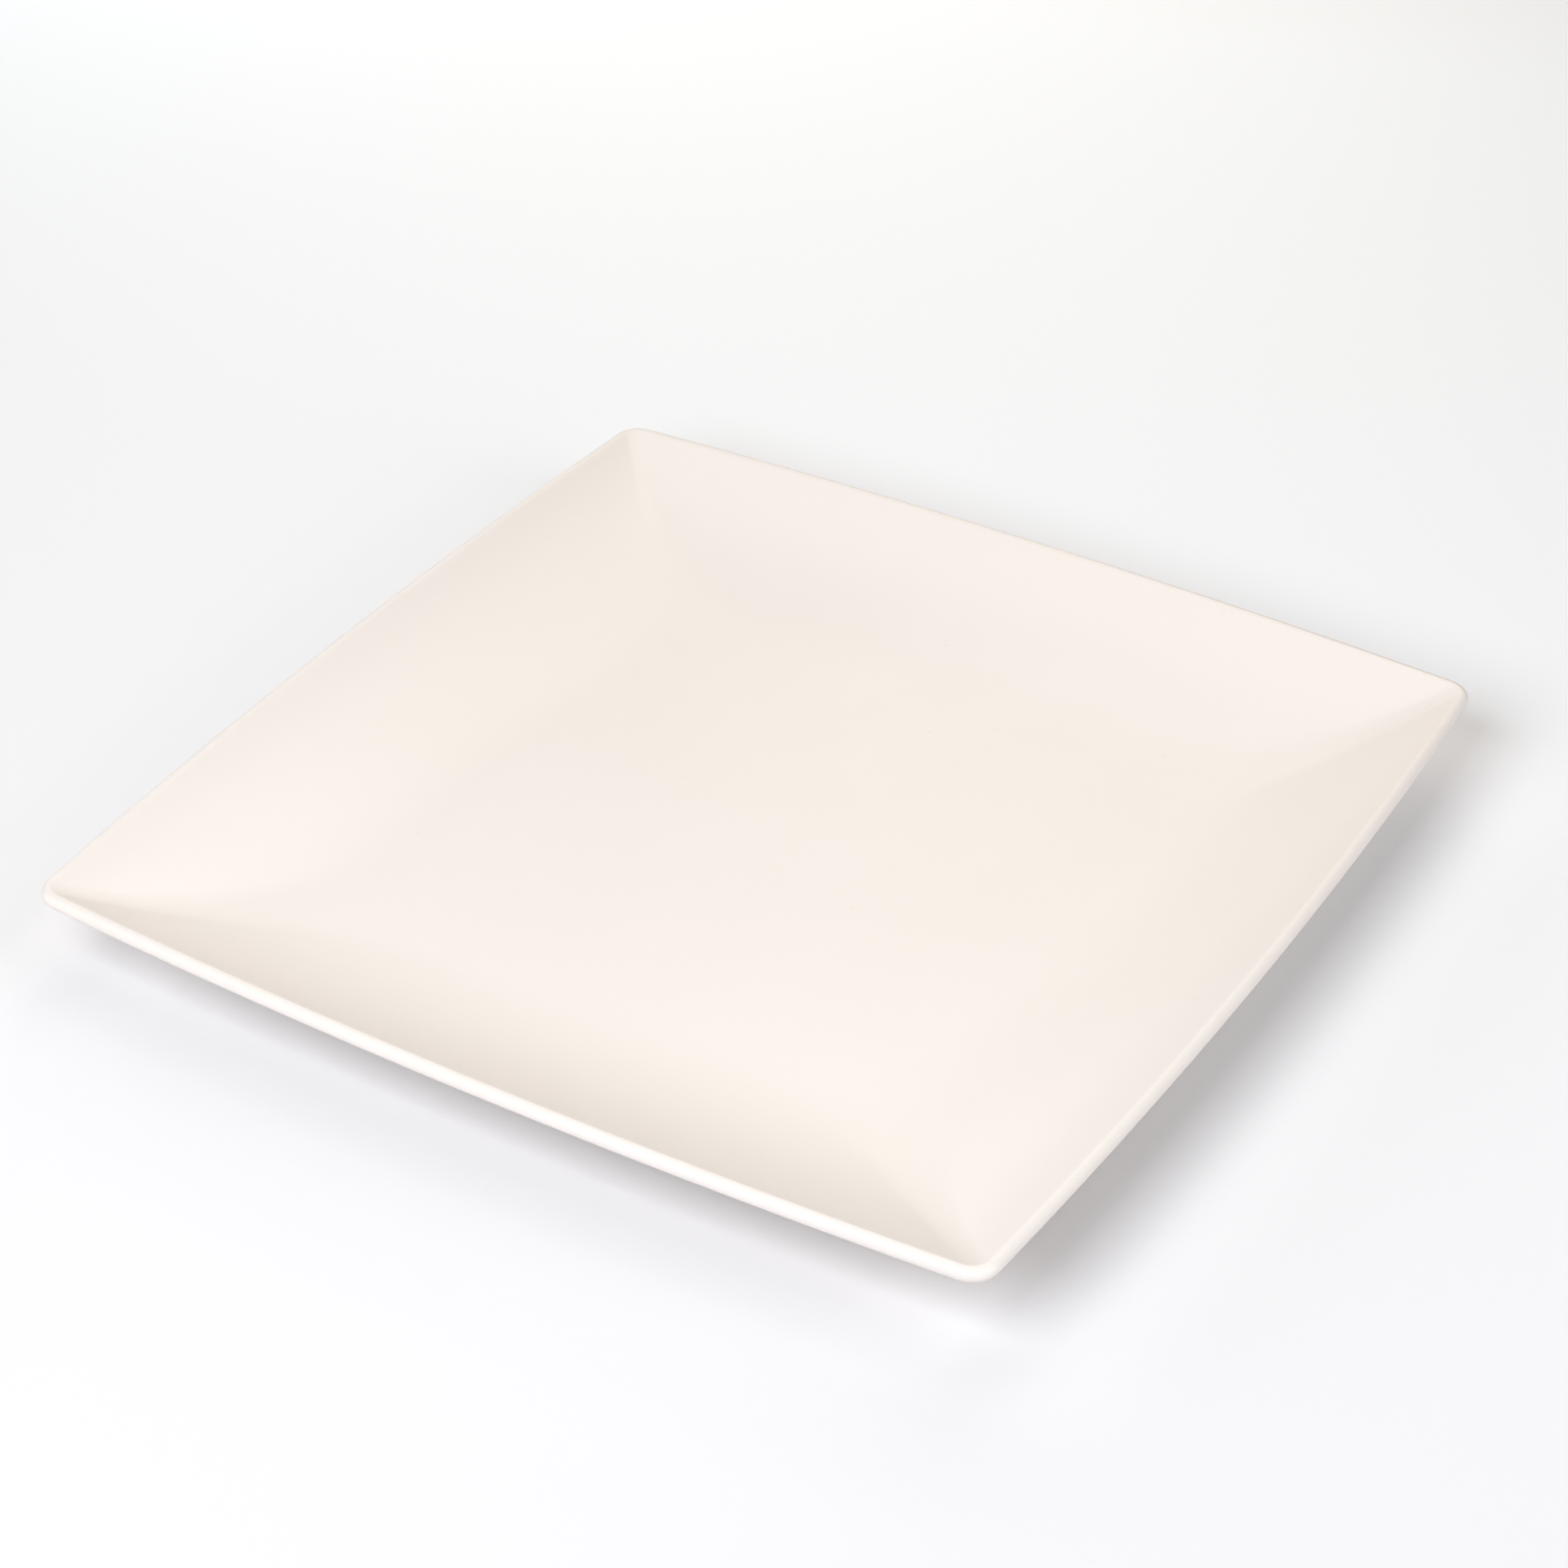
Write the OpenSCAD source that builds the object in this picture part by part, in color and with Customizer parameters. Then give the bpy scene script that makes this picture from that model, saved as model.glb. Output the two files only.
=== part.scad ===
// Square dinner plate with softly bowed sides, a flat floor, sloping walls and a foot ring.
// It stands on z = 0 with its centre at the origin, and its sides face along X and Y.
// The fired clay body carries two coats of glaze. One covers its face, lip and outside, and
// the other the recess inside the foot ring. The foot's ground standing face is bare clay.

/* [Plate] */
// Width over the middles of two opposite sides
plate_w = 260; // [200:1:320]
// Height of the lip above the table
plate_h = 25; // [19:0.5:32]
// Radius of the outward bow of each side, seen from above
side_bow_r = 1850; // [800:10:4000]
// Radius of the lip's corners, seen from above
lip_corner_r = 7; // [5:0.1:20]
// Thickness of the floor, the walls and the lip, with the glaze
wall_t = 3.6; // [3.2:0.1:6]

/* [Floor] */
// Width of the flat floor, where the walls start to rise
floor_w = 146; // [120:1:180]
// Radius of the floor's corners, seen from above
floor_corner_r = 30; // [14:1:40]
// Power with which the corners open out down the wall. More keeps them tight for longer
corner_power = 2; // [1:0.1:3]
// Radius of the bend between the floor and the wall, at the middle of its thickness
bend_r = 80; // [5:1:120]
// Slope of the wall just above the bend, as a share of the wall's mean slope
bend_slope_share = 0.35; // [0.2:0.05:0.9]

/* [Foot ring] */
// Distance that the foot ring stands in from the floor's edge
foot_inset = 1.5; // [0.5:0.1:6]
// Height of the foot ring below the base
foot_h = 4; // [2.6:0.1:6]
// Thickness of the foot ring near the table, with the glaze
foot_t = 5; // [4:0.1:9]
// How much further each flank of the foot reaches at the base than near the table
foot_flare = 1.2; // [0:0.1:3]
// Radius of the foot's rounded edges
foot_edge_r = 1.4; // [0.8:0.1:1.8]
// Depth of clay ground off the rounded foot to make it stand flat
foot_ground = 0.4; // [0.2:0.05:0.7]

/* [Glaze] */
// Thickness of the glaze
glaze_t = 0.3; // [0.2:0.05:0.6]
// Height above the table at which the glaze stops on the foot's flanks
glaze_end_h = 1.5; // [1.1:0.1:2]

/* [Smoothness] */
// Steps along each side of the outline
side_steps = 8; // [4:2:16]
// Steps round each corner of the outline
corner_steps = 6; // [3:1:10]
// Steps round the bend at the floor's edge
bend_steps = 3; // [2:1:6]
// Steps up the wall
wall_steps = 5; // [3:1:10]
// Steps round each of the lip's three stretches
lip_steps = 3; // [2:1:6]
// Steps round each edge of the foot
edge_steps = 3; // [2:1:8]

/* [Hidden] */

CLAY_COLOUR = [0.88, 0.83, 0.75];
GLAZE_COLOUR = [0.98, 0.95, 0.91];

// How far a cutting block runs past what it cuts
overrun = 2;

// The wall's middle line is two arcs. The bend leaves the floor level, and the climb carries
// on from it, ever steeper, to the middle of the lip.
lip_rise = plate_h - foot_h - wall_t;
wall_run = (plate_w - wall_t - floor_w) / 2;
bend_slope = bend_slope_share * atan(lip_rise / wall_run);
bend_run = bend_r * sin(bend_slope);
bend_rise = bend_r * (1 - cos(bend_slope));
climb_run = wall_run - bend_run;
lip_slope = 2 * atan((lip_rise - bend_rise) / climb_run) - bend_slope;
climb_r = climb_run / (sin(lip_slope) - sin(bend_slope));
lip_mid_corner_r = lip_corner_r - wall_t / 2;

// The foot's flanks start at the top of its rounded edges and end at the base
flank_low = foot_edge_r - foot_ground;
flank_h = foot_h - flank_low;
foot_out = floor_w / 2 - foot_inset;
foot_in = foot_out - foot_t - 2 * foot_flare;

// Even steps after the first value, up to and with the last
function steps_to(first, last, steps) =
    [for (step = [1:steps]) first + (last - first) * step / steps];

function reversed(list) =
    [for (i = [len(list) - 1:-1:0]) list[i]];

function turned(point, angle) =
    [point.x * cos(angle) - point.y * sin(angle), point.x * sin(angle) + point.y * cos(angle)];

function on_arc(centre, radius, angle) =
    centre + radius * [cos(angle), sin(angle)];

// A station is [distance of a side's middle from the centre, radius of the corners, height].
// Its level is the outline that it stands for: four bowed sides joined by four round corners.
function level(station) =
    let (
        bow_r = side_bow_r - plate_w / 2 + station[0],
        bow_centre = station[0] - bow_r,
        corner_r = station[1],
        gap = bow_r - corner_r,
        corner_centre = (bow_centre + sqrt(2 * pow(gap, 2) - pow(bow_centre, 2))) / 2,
        side_end = asin(corner_centre / gap)
    )
    [
        for (quarter = [0:3])
        for (spot = concat(
            [
                for (angle = steps_to(-side_end, side_end, side_steps))
                on_arc([bow_centre, 0], bow_r, angle)
            ],
            [
                for (angle = steps_to(side_end, 90 - side_end, corner_steps))
                on_arc([corner_centre, corner_centre], corner_r, angle)
            ]
        ))
        let (place = turned(spot, 90 * quarter))
        [place.x, place.y, station[2]]
    ];

// A station of the wall. slope tells how far up the middle line it is, and facing is the
// direction in which it looks, from straight up towards straight out. inset moves it into
// the wall.
function wall_station(slope, facing, inset) =
    let (
        bent = min(slope, bend_slope),
        run = bend_r * sin(bent) + climb_r * (sin(slope) - sin(bent)),
        rise = bend_r * (1 - cos(bent)) + climb_r * (cos(bent) - cos(slope)),
        open_share = pow(max(1 - run / wall_run, 0), corner_power),
        mid_corner_r = lip_mid_corner_r + (floor_corner_r - lip_mid_corner_r) * open_share,
        depth = wall_t / 2 - inset,
        out = depth * sin(facing)
    )
    [
        floor_w / 2 + run + out,
        mid_corner_r + out,
        foot_h + wall_t / 2 + rise + depth * cos(facing)
    ];

wall_slopes = concat(
    [0],
    steps_to(0, bend_slope, bend_steps),
    steps_to(bend_slope, lip_slope, wall_steps)
);

// The face, from the floor's edge up to the lip
function face_stations(inset) =
    [for (slope = wall_slopes) wall_station(slope, -slope, inset)];

// The round of the lip, over its highest and its outermost point
function lip_stations(inset) =
    [
        for (facing = concat(
            steps_to(-lip_slope, 0, lip_steps),
            steps_to(0, 90, lip_steps),
            steps_to(90, 180 - lip_slope, lip_steps)
        ))
        wall_station(lip_slope, facing, inset)
    ];

// The outside of the wall, from below the lip down to the base
function outside_stations(inset) =
    [
        for (slope = reversed(wall_slopes))
        if (slope < lip_slope)
        wall_station(slope, 180 - slope, inset)
    ];

// A station of the foot. side is 1 on its outer flank and -1 on its inner flank. inset moves
// it into the clay and trim moves it in along the round of the edge.
function foot_station(side, height, inset, trim = 0) =
    let (
        flare = foot_flare * max(height - flank_low, 0) / flank_h,
        root = side > 0 ? foot_out - foot_flare : foot_in + foot_flare,
        reach = root + side * (flare - inset - trim)
    )
    [reach, floor_corner_r - floor_w / 2 + reach, height];

// One rounded edge of the clay foot, from its flank to its lowest line
function edge_stations(side) =
    [
        for (angle = concat([0], steps_to(0, 90, edge_steps)))
        foot_station(
            side,
            foot_edge_r * (1 - sin(angle)) - foot_ground,
            glaze_t,
            foot_edge_r * (1 - cos(angle))
        )
    ];

// Two triangles that fill four corners, split along the shorter diagonal. The clay and the
// glaze on it then share every edge, whichever side each is seen from.
function filled(points, a, b, c, d) =
    norm(points[a] - points[c]) <= norm(points[b] - points[d])
        ? [[a, b, c], [a, c, d]]
        : [[a, b, d], [b, c, d]];

// A closed skin through the levels of a list of stations, with a fan from the middle to the
// first level and another to the last
module skin(stations) {
    levels = [for (station = stations) level(station)];
    count = len(levels[0]);
    last = len(levels) - 1;
    first_middle = count * len(levels);
    last_middle = first_middle + 1;
    points = concat(
        [for (spots = levels) each spots],
        [[0, 0, stations[0][2]], [0, 0, stations[last][2]]]
    );
    polyhedron(
        points = points,
        faces = [
            for (i = [0:count - 1])
            let (j = (i + 1) % count)
            each concat(
                [
                    [first_middle, j, i],
                    [last * count + i, last * count + j, last_middle]
                ],
                [
                    for (k = [0:last - 1])
                    let (here = k * count, next = here + count)
                    each filled(points, here + i, here + j, next + j, next + i)
                ]
            )
        ]
    );
}

// The fired clay, ground flat where it stands
module clay_body() {
    color(CLAY_COLOUR)
    difference() {
        skin(concat(
            face_stations(glaze_t),
            lip_stations(glaze_t),
            outside_stations(glaze_t),
            [foot_station(1, foot_h + glaze_t, glaze_t)],
            edge_stations(1),
            reversed(edge_stations(-1)),
            [foot_station(-1, foot_h + glaze_t, glaze_t)]
        ));
        translate([-plate_w / 2, -plate_w / 2, -foot_ground - overrun])
        cube([plate_w, plate_w, foot_ground + overrun]);
    }
}

// The glaze over the face, the lip, the outside and the foot's outer flank
module face_glaze() {
    color(GLAZE_COLOUR)
    skin(concat(
        face_stations(0),
        lip_stations(0),
        outside_stations(0),
        [
            foot_station(1, foot_h, 0),
            foot_station(1, glaze_end_h + glaze_t, 0),
            foot_station(1, glaze_end_h, glaze_t),
            foot_station(1, foot_h + glaze_t, glaze_t)
        ],
        reversed(outside_stations(glaze_t)),
        reversed(lip_stations(glaze_t)),
        reversed(face_stations(glaze_t))
    ));
}

// The glaze in the recess under the floor, down to the foot's inner flank
module recess_glaze() {
    color(GLAZE_COLOUR)
    skin([
        foot_station(-1, foot_h + glaze_t, glaze_t),
        foot_station(-1, glaze_end_h, glaze_t),
        foot_station(-1, glaze_end_h + glaze_t, 0),
        foot_station(-1, foot_h, 0)
    ]);
}

clay_body();
face_glaze();
recess_glaze();
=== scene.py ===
import math

import bpy
import numpy as np
from mathutils import Matrix, Vector


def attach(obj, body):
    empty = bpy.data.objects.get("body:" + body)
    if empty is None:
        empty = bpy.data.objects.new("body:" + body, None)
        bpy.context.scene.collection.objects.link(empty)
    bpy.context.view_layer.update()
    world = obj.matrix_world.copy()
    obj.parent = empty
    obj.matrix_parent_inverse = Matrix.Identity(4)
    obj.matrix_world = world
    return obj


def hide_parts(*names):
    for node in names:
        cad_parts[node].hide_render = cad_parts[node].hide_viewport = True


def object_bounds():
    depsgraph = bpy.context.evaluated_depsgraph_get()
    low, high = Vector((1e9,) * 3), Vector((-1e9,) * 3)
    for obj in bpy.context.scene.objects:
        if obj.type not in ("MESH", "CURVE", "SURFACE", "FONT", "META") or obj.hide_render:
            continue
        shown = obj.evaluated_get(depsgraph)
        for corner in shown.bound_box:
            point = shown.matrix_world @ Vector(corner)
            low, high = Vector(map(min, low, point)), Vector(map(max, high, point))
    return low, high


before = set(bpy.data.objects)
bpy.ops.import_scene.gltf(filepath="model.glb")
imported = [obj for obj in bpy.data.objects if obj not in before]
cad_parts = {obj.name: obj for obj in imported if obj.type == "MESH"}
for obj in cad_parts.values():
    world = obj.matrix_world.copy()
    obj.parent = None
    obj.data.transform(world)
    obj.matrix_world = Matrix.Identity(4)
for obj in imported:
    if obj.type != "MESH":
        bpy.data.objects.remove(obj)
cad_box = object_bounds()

MM = 0.001
UP = Vector((0, 0, 1))

# Driving sizes of the plate, in metres
low, high = cad_box
PLATE_W = high.x - low.x
PLATE_H = high.z - low.z
SIDE_BOW_R = 1850 * MM
LIP_CORNER_R = 7 * MM
WALL_T = 3.6 * MM
FLOOR_W = 146 * MM
FLOOR_CORNER_R = 30 * MM
CORNER_POWER = 2
BEND_R = 80 * MM
BEND_SLOPE_SHARE = 0.35
GLAZE_T = 0.3 * MM

# The foot ring, with the glaze that has run into the corners above it
FOOT_INSET = 1.5 * MM
FOOT_H = 4 * MM
FOOT_T = 5 * MM
FOOT_FLARE = 1.2 * MM
FOOT_EDGE_R = 1.4 * MM
FOOT_GROUND = 0.4 * MM
FOOT_FILLET_R = 1.3 * MM

# The glaze on the foot ends at an uneven height, from this one up to the sway above it. The waves
# are how many times each goes round the foot.
GLAZE_END_H = 1.5 * MM
GLAZE_END_SWAY = 0.5 * MM
GLAZE_END_WAVES = (3, 5, 8, 13, 21)
GLAZE_END_SEED = 4

# How finely the surfaces are divided
SIDE_STEPS = 44
CORNER_STEPS = 20
BEND_STEPS = 8
WALL_STEPS = 22
LIP_STEPS = 10
EDGE_STEPS = 8
SHARP_ANGLE = math.radians(40)

# The wall's middle line is two arcs: the bend off the floor, then the climb up to the lip
LIP_RISE = PLATE_H - FOOT_H - WALL_T
WALL_RUN = (PLATE_W - WALL_T - FLOOR_W) / 2
BEND_SLOPE = BEND_SLOPE_SHARE * math.atan(LIP_RISE / WALL_RUN)
CLIMB_RUN = WALL_RUN - BEND_R * math.sin(BEND_SLOPE)
CLIMB_RISE = LIP_RISE - BEND_R * (1 - math.cos(BEND_SLOPE))
LIP_SLOPE = 2 * math.atan(CLIMB_RISE / CLIMB_RUN) - BEND_SLOPE
CLIMB_R = CLIMB_RUN / (math.sin(LIP_SLOPE) - math.sin(BEND_SLOPE))
LIP_MID_CORNER_R = LIP_CORNER_R - WALL_T / 2

FLANK_LOW = FOOT_EDGE_R - FOOT_GROUND
FLANK_H = FOOT_H - FLANK_LOW
FOOT_OUT = FLOOR_W / 2 - FOOT_INSET
FOOT_IN = FOOT_OUT - FOOT_T - 2 * FOOT_FLARE


def ring(station):
    """The closed outline at a station: four bowed sides joined by round corners.

    A station is (distance of a side's middle from the centre, corner radius, height). The outline
    starts at the middle of the front right corner and runs anticlockwise seen from above.
    """
    reach, corner_r, height = station
    bow_r = SIDE_BOW_R - PLATE_W / 2 + reach
    bow_centre = reach - bow_r
    gap = bow_r - corner_r
    corner_centre = (bow_centre + math.sqrt(2 * gap**2 - bow_centre**2)) / 2
    side_end = math.asin(corner_centre / gap)
    side = np.linspace(-side_end, side_end, SIDE_STEPS + 1)[1:]
    corner = np.linspace(side_end, math.pi / 2 - side_end, CORNER_STEPS + 1)[1:]
    x = np.concatenate([bow_centre + bow_r * np.cos(side), corner_centre + corner_r * np.cos(corner)])
    y = np.concatenate([bow_r * np.sin(side), corner_centre + corner_r * np.sin(corner)])
    quarters = [(x, y), (-y, x), (-x, -y), (y, -x)]
    outline = np.concatenate([np.stack(quarter, axis=1) for quarter in quarters])
    outline = np.roll(outline, CORNER_STEPS // 2 + 1, axis=0)
    return np.column_stack([outline, np.full(len(outline), height)])


def rings(stations):
    return [ring(station) for station in stations]


def wandering_ring(lower, higher):
    """A ring that wanders between two stations on its way round."""
    low_ring, high_ring = ring(lower), ring(higher)
    chance = np.random.default_rng(GLAZE_END_SEED)
    turn = np.linspace(0, 2 * math.pi, len(low_ring), endpoint=False)
    waves = [np.sin(count * turn + chance.uniform(0, 2 * math.pi)) / count for count in GLAZE_END_WAVES]
    share = sum(waves)
    share = (share - share.min()) / (share.max() - share.min())
    return low_ring + (high_ring - low_ring) * share[:, None]


def wall_station(slope, facing, inset=0.0):
    """A station of the wall, as far up its middle line as where it has that slope.

    facing is the direction in which the surface looks, from straight up towards straight out, and
    inset moves the surface into the wall.
    """
    bent = min(slope, BEND_SLOPE)
    run = BEND_R * math.sin(bent) + CLIMB_R * (math.sin(slope) - math.sin(bent))
    rise = BEND_R * (1 - math.cos(bent)) + CLIMB_R * (math.cos(bent) - math.cos(slope))
    open_share = max(1 - run / WALL_RUN, 0) ** CORNER_POWER
    mid_corner_r = LIP_MID_CORNER_R + (FLOOR_CORNER_R - LIP_MID_CORNER_R) * open_share
    depth = WALL_T / 2 - inset
    out = depth * math.sin(facing)
    height = FOOT_H + WALL_T / 2 + rise + depth * math.cos(facing)
    return (FLOOR_W / 2 + run + out, mid_corner_r + out, height)


def wall_slopes():
    bend = np.linspace(0, BEND_SLOPE, BEND_STEPS + 1)
    climb = np.linspace(BEND_SLOPE, LIP_SLOPE, WALL_STEPS + 1)[1:]
    return list(bend) + list(climb)


def upper_stations(inset=0.0):
    """From the floor's edge up the face, round the lip and down the outside to the base."""
    slopes = wall_slopes()
    turns = [-LIP_SLOPE, 0, math.pi / 2, math.pi - LIP_SLOPE]
    round_lip = []
    for first, last in zip(turns, turns[1:]):
        round_lip += list(np.linspace(first, last, LIP_STEPS + 1)[1:])
    face = [wall_station(slope, -slope, inset) for slope in slopes]
    lip = [wall_station(LIP_SLOPE, facing, inset) for facing in round_lip]
    outside = [wall_station(slope, math.pi - slope, inset) for slope in reversed(slopes[:-1])]
    return face + lip + outside


def foot_station(reach, height):
    """A station of the foot, whose outline keeps the same distance from the floor's outline."""
    return (reach, FLOOR_CORNER_R - FLOOR_W / 2 + reach, height)


def flank_reach(side, height):
    """How far out the glazed flank of the foot is. side is 1 on its outside and -1 on its inside."""
    flare = FOOT_FLARE * max(height - FLANK_LOW, 0) / FLANK_H
    root = FOOT_OUT - FOOT_FLARE if side > 0 else FOOT_IN + FOOT_FLARE
    return root + side * flare


def fillet_stations(side):
    """The round corner between the base and a flank of the foot, from the base to the flank."""
    lean = math.atan(FOOT_FLARE / FLANK_H)
    turn = math.pi / 2 - lean
    tangent = FOOT_FILLET_R * math.tan(turn / 2)
    centre = flank_reach(side, FOOT_H) + side * tangent
    return [
        foot_station(
            centre - side * FOOT_FILLET_R * math.sin(angle),
            FOOT_H - FOOT_FILLET_R * (1 - math.cos(angle)),
        )
        for angle in np.linspace(0, turn, EDGE_STEPS + 1)
    ]


def glaze_end_rings(side):
    """The rounded end of the glaze on a flank, from its surface to the clay, as an uneven line."""
    found = []
    for angle in np.linspace(0, math.pi / 2, EDGE_STEPS // 2 + 1):
        pair = []
        for end_h in (GLAZE_END_H, GLAZE_END_H + GLAZE_END_SWAY):
            centre_h = end_h + GLAZE_T
            reach = flank_reach(side, centre_h) - side * GLAZE_T * (1 - math.cos(angle))
            pair.append(foot_station(reach, centre_h - GLAZE_T * math.sin(angle)))
        found.append(wandering_ring(*pair))
    return found


def glaze_root(side):
    """The station in the clay where the back of the glaze turns from the base to the flank."""
    height = FOOT_H + GLAZE_T
    return foot_station(flank_reach(side, height) - side * GLAZE_T, height)


def foot_edge_stations(side):
    """A rounded edge of the bare foot, from its flank to where it is ground flat."""
    root = flank_reach(side, FLANK_LOW) - side * GLAZE_T
    ground_angle = math.asin(1 - FOOT_GROUND / FOOT_EDGE_R)
    return [
        foot_station(
            root - side * FOOT_EDGE_R * (1 - math.cos(angle)),
            FOOT_EDGE_R * (1 - math.sin(angle)) - FOOT_GROUND,
        )
        for angle in np.linspace(0, ground_angle, EDGE_STEPS + 1)
    ]


class Skin:
    """Points and faces of one closed surface, laid ring by ring."""

    def __init__(self):
        self.points = []
        self.pools = []
        self.faces = []

    def add(self, points, pool=0.0):
        """Adds points, says how deep the glaze pools there, and returns their numbers."""
        first = sum(len(block) for block in self.points)
        self.points.append(np.asarray(points))
        self.pools.append(np.full(len(points), pool))
        return np.arange(first, first + len(points))

    def patch(self, outline, facing_up):
        """Fills a ring with a grid of quads that follows its outline, and returns the ring."""
        n = len(outline) // 4
        closed = np.append(np.arange(4 * n), 0)
        right, back, left, front = (closed[k * n:(k + 1) * n + 1] for k in range(4))
        back, left = back[::-1], left[::-1]
        share = np.linspace(0, 1, n + 1)
        u, v = share[:, None, None], share[None, :, None]
        grid = (1 - u) * outline[left][None, :] + u * outline[right][None, :]
        grid += (1 - v) * outline[front][:, None] + v * outline[back][:, None]
        grid -= (1 - u) * ((1 - v) * outline[left[0]] + v * outline[left[-1]])
        grid -= u * ((1 - v) * outline[right[0]] + v * outline[right[-1]])
        loop = self.add(outline)
        index = np.empty((n + 1, n + 1), int)
        index[1:-1, 1:-1] = self.add(grid[1:-1, 1:-1].reshape(-1, 3)).reshape(n - 1, n - 1)
        index[0], index[-1] = loop[left], loop[right]
        index[:, 0], index[:, -1] = loop[front], loop[back]
        quads = np.stack([index[:-1, :-1], index[1:, :-1], index[1:, 1:], index[:-1, 1:]], axis=-1)
        quads = quads.reshape(-1, 4)
        self.faces += (quads if facing_up else quads[:, ::-1]).tolist()
        return loop

    def bridge(self, loop, following):
        """Quads from one ring to the next one along the section."""
        corners = [loop, following, np.roll(following, -1), np.roll(loop, -1)]
        self.faces += np.stack(corners, axis=1).tolist()

    def loft(self, loop, outlines, pool=0.0):
        """Carries the surface on through more rings, and returns the last one."""
        for outline in outlines:
            following = self.add(outline, pool)
            self.bridge(loop, following)
            loop = following
        return loop

    def piece(self, name):
        """A smooth-shaded object of the skin, with sharp edges only where it really turns."""
        mesh = bpy.data.meshes.new(name)
        mesh.from_pydata(np.concatenate(self.points).tolist(), [], self.faces)
        mesh.shade_smooth()
        mesh.set_sharp_from_angle(angle=SHARP_ANGLE)
        pool = mesh.attributes.new("pool", "FLOAT", "POINT")
        pool.data.foreach_set("value", np.concatenate(self.pools))
        piece = bpy.data.objects.new(name, mesh)
        bpy.context.scene.collection.objects.link(piece)
        return piece


def make_clay():
    """The fired clay, from the face down to the ground foot and up into the recess."""
    skin = Skin()
    upper = rings(upper_stations(GLAZE_T))
    loop = skin.patch(upper[0], facing_up=True)
    loop = skin.loft(loop, upper[1:])
    loop = skin.loft(loop, rings([glaze_root(1)]))
    loop = skin.loft(loop, rings(foot_edge_stations(1)))
    loop = skin.loft(loop, rings(reversed(foot_edge_stations(-1))))
    skin.bridge(loop, skin.patch(ring(glaze_root(-1)), facing_up=False))
    return skin.piece("clay_body_fine")


def make_face_glaze():
    """The glaze over the face, the lip, the outside and the outer flank of the foot."""
    skin = Skin()
    upper = rings(upper_stations())
    under = rings(upper_stations(GLAZE_T))
    loop = skin.patch(upper[0], facing_up=True)
    loop = skin.loft(loop, upper[1:])
    loop = skin.loft(loop, rings(fillet_stations(1)), pool=1.0)
    loop = skin.loft(loop, glaze_end_rings(1))
    loop = skin.loft(loop, rings([glaze_root(1)]))
    loop = skin.loft(loop, reversed(under[1:]))
    skin.bridge(loop, skin.patch(under[0], facing_up=False))
    return skin.piece("face_glaze_fine")


def make_recess_glaze():
    """The glaze in the recess inside the foot ring."""
    skin = Skin()
    loop = skin.patch(ring(glaze_root(-1)), facing_up=True)
    loop = skin.loft(loop, reversed(glaze_end_rings(-1)))
    corner = rings(reversed(fillet_stations(-1)))
    loop = skin.loft(loop, corner[:-1], pool=1.0)
    skin.bridge(loop, skin.patch(corner[-1], facing_up=False))
    return skin.piece("recess_glaze_fine")


# Colours, as linear red, green and blue
GLAZE_COLOUR = (0.89, 0.83, 0.763, 1)
GLAZE_DEEP_COLOUR = (0.86, 0.782, 0.70, 1)
GLAZE_POOL_COLOUR = (0.80, 0.72, 0.61, 1)
SPECK_COLOUR = (0.50, 0.38, 0.27, 1)
CLAY_COLOUR = (0.74, 0.67, 0.57, 1)
CLAY_DARK_COLOUR = (0.60, 0.51, 0.40, 1)
GRAIN_COLOUR = (0.36, 0.28, 0.20, 1)

# The range of the noise that is spread over a surface's own range
NOISE_LOW = 0.3
NOISE_HIGH = 0.7

# The glaze's clouds of tone, its gloss, its long waves and its fine ripple
CLOUD_SIZE = 34 * MM
CLOUD_SHARE = 0.12
GLOSS_PATCH_SIZE = 16 * MM
GLAZE_ROUGHNESS_LOW = 0.29
GLAZE_ROUGHNESS_HIGH = 0.33
WAVE_SIZE = 17 * MM
WAVE_DEPTH = 0.02 * MM
RIPPLE_SIZE = 2.6 * MM
RIPPLE_DEPTH = 0.0015 * MM

# The glaze's specks and pinholes. The chance is the share of the cells that hold one.
SPECK_CELL = 7 * MM
SPECK_RADIUS = 0.45 * MM
SPECK_CHANCE = 0.1
SPECK_SHARE = 0.15
PINHOLE_CELL = 5 * MM
PINHOLE_RADIUS = 0.22 * MM
PINHOLE_CHANCE = 0.2
PINHOLE_DEPTH = 0.02 * MM
# The share of a spot's radius within which it is at its full strength
SPOT_CORE = 0.5

# The bare clay's dark patches, grains, grit and grinding marks
CLAY_PATCH_SIZE = 9 * MM
CLAY_PATCH_LOW = 0.35
CLAY_PATCH_SHARE = 0.8
CLAY_ROUGHNESS = 0.85
GRAIN_CELL = 1.1 * MM
GRAIN_RADIUS = 0.22 * MM
GRAIN_CHANCE = 0.5
GRAIN_SHARE = 0.6
GRIT_SIZE = 0.45 * MM
GRIT_DEPTH = 0.05 * MM
GRINDING_SIZE = 0.3 * MM
GRINDING_DEPTH = 0.015 * MM
GRINDING_STRETCH = (0.04, 1, 1)


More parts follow.
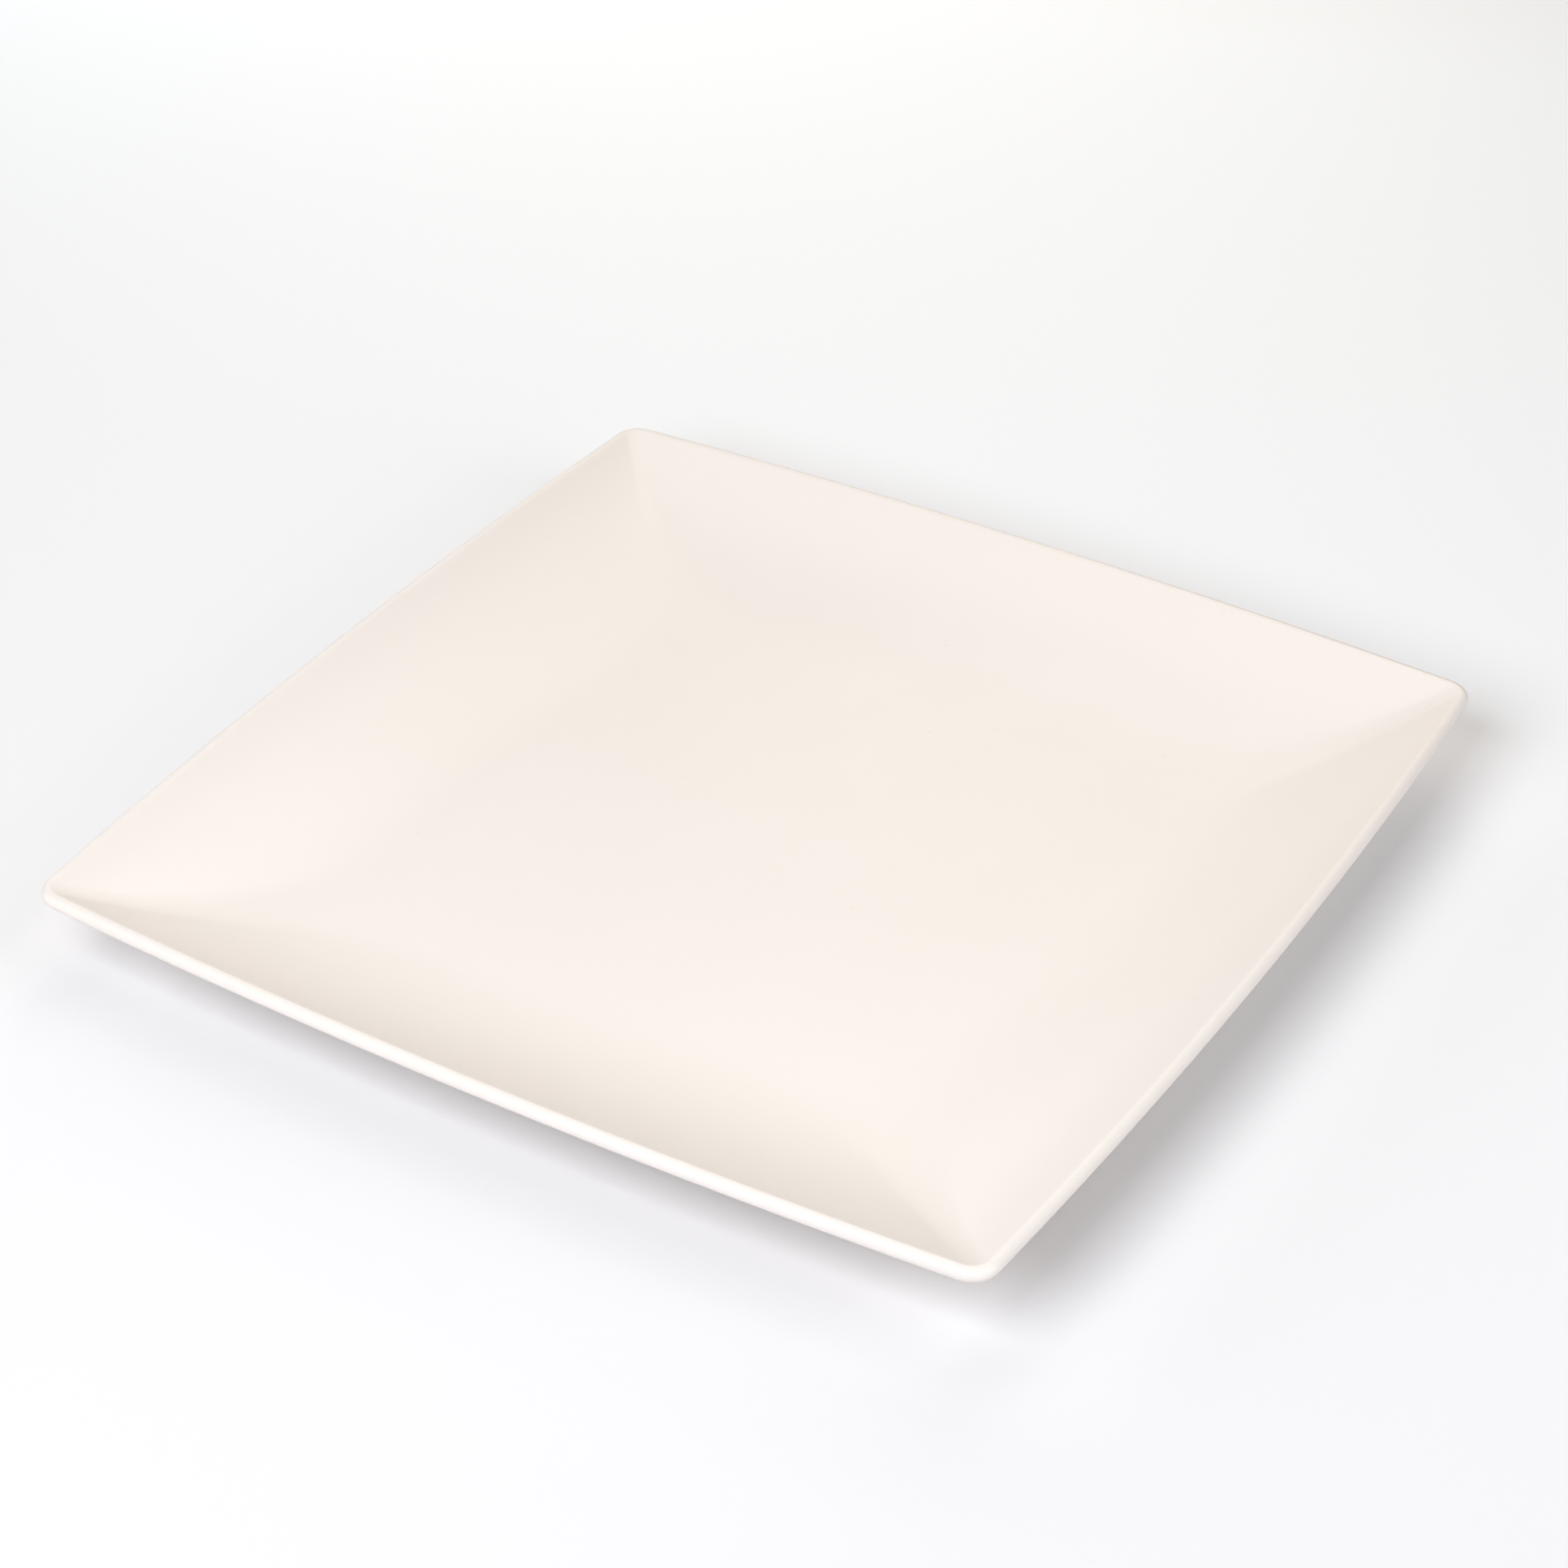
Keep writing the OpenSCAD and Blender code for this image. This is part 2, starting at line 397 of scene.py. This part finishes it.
class Material:
    """A new node material with one Principled shader, and short calls to add to it."""

    def __init__(self, name):
        self.data = bpy.data.materials.new(name)
        self.data.use_nodes = True
        self.tree = self.data.node_tree
        self.shader = self.tree.nodes["Principled BSDF"]
        self.place = self.add("ShaderNodeTexCoord").outputs["Object"]

    def add(self, kind, settings=None, **inputs):
        """Adds a node. An input is a number, a colour or another node's output."""
        node = self.tree.nodes.new(kind)
        for key, value in (settings or {}).items():
            setattr(node, key, value)
        for key, value in inputs.items():
            self.feed(node, key.replace("_", " "), value)
        return node

    def feed(self, node, key, value):
        """Gives an input its value or link. The key is the input's name or its number as text."""
        socket = node.inputs[int(key)] if key.isdigit() else node.inputs[key]
        if isinstance(value, bpy.types.NodeSocket):
            self.tree.links.new(value, socket)
        else:
            socket.default_value = value

    def noise(self, size, detail=2.0, stretch=None):
        """Soft noise whose lumps are about that size, in metres, stretched along an axis if asked."""
        place = self.place
        if stretch:
            scaling = self.add("ShaderNodeVectorMath", {"operation": "MULTIPLY"})
            self.feed(scaling, "0", self.place)
            self.feed(scaling, "1", stretch)
            place = scaling.outputs[0]
        node = self.add("ShaderNodeTexNoise", Vector=place, Scale=1 / size, Detail=detail)
        return node.outputs["Fac"]

    def spread(self, value, start, end, to_start, to_end):
        """Carries a value from one range to another, and holds it there."""
        node = self.add("ShaderNodeMapRange", Value=value)
        ends = {"From Min": start, "From Max": end, "To Min": to_start, "To Max": to_end}
        for key, number in ends.items():
            self.feed(node, key, number)
        return node.outputs["Result"]

    def mixed(self, share, first, second):
        """A colour that goes from the first to the second as the share grows."""
        node = self.add("ShaderNodeMix", {"data_type": "RGBA"})
        for key, value in {"0": share, "6": first, "7": second}.items():
            self.feed(node, key, value)
        return node.outputs[2]

    def product(self, first, second):
        node = self.add("ShaderNodeMath", {"operation": "MULTIPLY"})
        self.feed(node, "0", first)
        self.feed(node, "1", second)
        return node.outputs[0]

    def bump(self, height, depth, under=None):
        """Bumps that deep, in metres, on top of others."""
        node = self.add("ShaderNodeBump", Height=height, Strength=1.0, Distance=depth)
        if under is not None:
            self.feed(node, "Normal", under)
        return node.outputs["Normal"]

    def specks(self, cell, radius, chance):
        """1 inside small round specks and 0 elsewhere. The chance is the share of cells with one."""
        dots = self.add("ShaderNodeTexVoronoi", {"feature": "F1"}, Vector=self.place, Scale=1 / cell)
        near = self.spread(dots.outputs["Distance"], radius / cell, SPOT_CORE * radius / cell, 0.0, 1.0)
        pick = self.add("ShaderNodeSeparateColor", Color=dots.outputs["Color"]).outputs[0]
        chosen = self.add("ShaderNodeMath", {"operation": "LESS_THAN"})
        self.feed(chosen, "0", pick)
        self.feed(chosen, "1", chance)
        return self.product(near, chosen.outputs[0])


def glaze_material():
    """Smooth ivory glaze: faint clouds of tone, rare faint specks and a soft, slightly wavy gloss."""
    material = Material("ivory_glaze")
    shader = material.shader
    clouds = material.spread(material.noise(CLOUD_SIZE), NOISE_LOW, NOISE_HIGH, 0.0, CLOUD_SHARE)
    colour = material.mixed(clouds, GLAZE_COLOUR, GLAZE_DEEP_COLOUR)
    pool = material.add("ShaderNodeAttribute", {"attribute_name": "pool"}).outputs["Fac"]
    colour = material.mixed(pool, colour, GLAZE_POOL_COLOUR)
    specks = material.specks(SPECK_CELL, SPECK_RADIUS, SPECK_CHANCE)
    colour = material.mixed(material.product(specks, SPECK_SHARE), colour, SPECK_COLOUR)
    material.feed(shader, "Base Color", colour)
    gloss = material.noise(GLOSS_PATCH_SIZE)
    roughness = material.spread(gloss, NOISE_LOW, NOISE_HIGH, GLAZE_ROUGHNESS_LOW, GLAZE_ROUGHNESS_HIGH)
    material.feed(shader, "Roughness", roughness)
    waves = material.bump(material.noise(WAVE_SIZE, detail=1.0), WAVE_DEPTH)
    ripple = material.bump(material.noise(RIPPLE_SIZE, detail=1.0), RIPPLE_DEPTH, waves)
    holes = material.product(material.specks(PINHOLE_CELL, PINHOLE_RADIUS, PINHOLE_CHANCE), -1.0)
    material.feed(shader, "Normal", material.bump(holes, PINHOLE_DEPTH, ripple))
    return material.data


def clay_material():
    """Bare fired clay: matte and grainy, with dark grains and the marks of grinding."""
    material = Material("bare_clay")
    shader = material.shader
    clouds = material.noise(CLAY_PATCH_SIZE, detail=5.0)
    patches = material.spread(clouds, CLAY_PATCH_LOW, NOISE_HIGH, 0.0, CLAY_PATCH_SHARE)
    colour = material.mixed(patches, CLAY_COLOUR, CLAY_DARK_COLOUR)
    grains = material.specks(GRAIN_CELL, GRAIN_RADIUS, GRAIN_CHANCE)
    colour = material.mixed(material.product(grains, GRAIN_SHARE), colour, GRAIN_COLOUR)
    material.feed(shader, "Base Color", colour)
    material.feed(shader, "Roughness", CLAY_ROUGHNESS)
    grit = material.bump(material.noise(GRIT_SIZE, detail=4.0), GRIT_DEPTH)
    grinding = material.noise(GRINDING_SIZE, stretch=GRINDING_STRETCH)
    material.feed(shader, "Normal", material.bump(grinding, GRINDING_DEPTH, grit))
    return material.data


def place(piece, node, slot, material):
    """Gives a new piece its material and puts it in a CAD node's place."""
    piece.data.materials.append(material)
    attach(piece, "root")
    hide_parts(node)


# Floor. The lamps leave it brighter and cooler at the front than at the back, and dark beyond their
# reach. The camera sees it evened out, as its colour changes from front to back, and further away
# as a pale backdrop, which the world carries on above it.
FLOOR_HALF = 3000 * MM
FLOOR_COLOUR = (0.80, 0.78, 0.80, 1)
FLOOR_FRONT_COLOUR = (0.720, 0.683, 0.665, 1)
FLOOR_BACK_COLOUR = (1.128, 1.170, 1.183, 1)
FLOOR_WAY = (-0.23, 0.97, 0)
FLOOR_REACH = 500 * MM
BACKDROP_START = 620 * MM
BACKDROP_END = 850 * MM
BACKDROP_COLOUR = (0.93, 0.93, 0.935, 1)


def floor_material():
    """A matte floor, which the camera sees evened out and other rays see plain."""
    material = Material("pale_floor")
    along = material.add("ShaderNodeVectorMath", {"operation": "DOT_PRODUCT"})
    material.feed(along, "0", material.place)
    material.feed(along, "1", FLOOR_WAY)
    back = material.spread(along.outputs["Value"], -FLOOR_REACH, FLOOR_REACH, 0.0, 1.0)
    even = material.mixed(back, FLOOR_FRONT_COLOUR, FLOOR_BACK_COLOUR)
    camera_ray = material.add("ShaderNodeLightPath").outputs["Is Camera Ray"]
    colour = material.mixed(camera_ray, FLOOR_COLOUR, even)
    matte = material.add("ShaderNodeBsdfDiffuse", Color=colour)
    away = material.add("ShaderNodeVectorMath", {"operation": "LENGTH"})
    material.feed(away, "0", material.place)
    far = material.spread(away.outputs["Value"], BACKDROP_START, BACKDROP_END, 0.0, 1.0)
    backdrop = material.add("ShaderNodeEmission", Color=BACKDROP_COLOUR)
    seen = material.add("ShaderNodeMixShader")
    material.feed(seen, "0", material.product(camera_ray, far))
    material.feed(seen, "1", matte.outputs[0])
    material.feed(seen, "2", backdrop.outputs[0])
    output = material.tree.nodes["Material Output"]
    material.tree.links.new(seen.outputs[0], output.inputs["Surface"])
    material.tree.nodes.remove(material.shader)
    return material.data


def make_floor():
    mesh = bpy.data.meshes.new("studio_floor")
    corners = [(-FLOOR_HALF, -FLOOR_HALF, 0), (FLOOR_HALF, -FLOOR_HALF, 0)]
    corners += [(FLOOR_HALF, FLOOR_HALF, 0), (-FLOOR_HALF, FLOOR_HALF, 0)]
    mesh.from_pydata(corners, [], [(0, 1, 2, 3)])
    mesh.materials.append(floor_material())
    floor = bpy.data.objects.new("studio_floor", mesh)
    bpy.context.scene.collection.objects.link(floor)


# The camera looks from the front and the right at a spot near the middle of the lip's plane, which
# lies this far right of that middle and above it in the picture
CAMERA_AZIMUTH = math.radians(31.61)
CAMERA_ELEVATION = math.radians(35.49)
CAMERA_ROLL = math.radians(-0.17)
CAMERA_DISTANCE = 907.2 * MM
CAMERA_RIGHT = 0.98 * MM
CAMERA_RAISED = 1.59 * MM
CAMERA_LENS_MM = 86.82
CAMERA_SENSOR_MM = 36
CAMERA_CLIP_START = 10 * MM


def make_camera():
    """The camera at the photo's viewing angle, as the scene's camera."""
    back = Vector((
        math.sin(CAMERA_AZIMUTH) * math.cos(CAMERA_ELEVATION),
        -math.cos(CAMERA_AZIMUTH) * math.cos(CAMERA_ELEVATION),
        math.sin(CAMERA_ELEVATION),
    ))
    turn = Matrix.Rotation(CAMERA_ROLL, 3, back)
    right = turn @ UP.cross(back).normalized()
    above = back.cross(right)
    data = bpy.data.cameras.new("photo_camera")
    data.sensor_width = CAMERA_SENSOR_MM
    data.lens = CAMERA_LENS_MM
    data.clip_start = CAMERA_CLIP_START
    camera = bpy.data.objects.new("photo_camera", data)
    target = UP * (PLATE_H - WALL_T / 2)
    spot = target + right * CAMERA_RIGHT + above * CAMERA_RAISED + back * CAMERA_DISTANCE
    camera.matrix_world = Matrix.Translation(spot) @ Matrix((right, above, back)).transposed().to_4x4()
    bpy.context.scene.collection.objects.link(camera)
    bpy.context.scene.camera = camera


# Tints of the lamps' light
COOL_LIGHT = (0.9, 0.94, 1.0)
PLAIN_LIGHT = (0.99, 0.97, 0.98)
WARM_LIGHT = (1.0, 0.9, 0.8)

# Soft square lamps all round, each with its name, azimuth, elevation, power in watts and tint.
# Azimuth turns from the front to the right. The powers and tints follow a fit to the photo's
# shading, in rounder numbers.
LAMPS = (
    ("key_lamp", 0, 42.5, 6.3, COOL_LIGHT),
    ("right_lamp", 90, 45, 1.6, COOL_LIGHT),
    ("right_low_lamp", 90, 20, 1.8, PLAIN_LIGHT),
    ("front_right_low_lamp", 60, 10, 0.7, PLAIN_LIGHT),
    ("left_low_lamp", -60, 20, 1.1, PLAIN_LIGHT),
    ("back_left_low_lamp", -120, 20, 1.1, COOL_LIGHT),
    ("back_low_lamp", -150, 20, 0.9, WARM_LIGHT),
    ("back_lamp", -165, 45, 1.1, WARM_LIGHT),
    ("back_top_lamp", -180, 70, 0.8, WARM_LIGHT),
    ("left_top_lamp", -90, 70, 0.8, WARM_LIGHT),
)
LAMP_DISTANCE = 900 * MM
LAMP_SIZE = 500 * MM
WORLD_STRENGTH = 0.02
WORLD_COLOUR = (0.75, 0.8, 1.0, 1)


def make_lamp(name, azimuth, elevation, power, tint):
    """A square soft lamp that looks at the plate."""
    turn, rise = math.radians(azimuth), math.radians(elevation)
    way = Vector((math.sin(turn) * math.cos(rise), -math.cos(turn) * math.cos(rise), math.sin(rise)))
    data = bpy.data.lights.new(name, "AREA")
    data.size = LAMP_SIZE
    data.energy = power
    data.color = tint
    lamp = bpy.data.objects.new(name, data)
    lamp.location = way * LAMP_DISTANCE
    lamp.rotation_mode = "QUATERNION"
    lamp.rotation_quaternion = way.to_track_quat("Z", "Y")
    bpy.context.scene.collection.objects.link(lamp)


def light_world():
    """Faint light from all round, in whose place the camera sees the pale backdrop."""
    world = bpy.data.worlds.new("studio_air")
    bpy.context.scene.world = world
    world.use_nodes = True
    tree = world.node_tree
    air = tree.nodes["Background"]
    air.inputs["Color"].default_value = WORLD_COLOUR
    air.inputs["Strength"].default_value = WORLD_STRENGTH
    backdrop = tree.nodes.new("ShaderNodeBackground")
    backdrop.inputs["Color"].default_value = BACKDROP_COLOUR
    camera_ray = tree.nodes.new("ShaderNodeLightPath").outputs["Is Camera Ray"]
    seen = tree.nodes.new("ShaderNodeMixShader")
    tree.links.new(camera_ray, seen.inputs[0])
    tree.links.new(air.outputs[0], seen.inputs[1])
    tree.links.new(backdrop.outputs[0], seen.inputs[2])
    tree.links.new(seen.outputs[0], tree.nodes["World Output"].inputs["Surface"])


glaze = glaze_material()
place(make_clay(), "clay_body", "bare_clay", clay_material())
place(make_face_glaze(), "face_glaze", "glaze", glaze)
place(make_recess_glaze(), "recess_glaze", "glaze", glaze)
make_floor()
make_camera()
for lamp in LAMPS:
    make_lamp(*lamp)
light_world()

bpy.context.scene.view_settings.view_transform = "Standard"
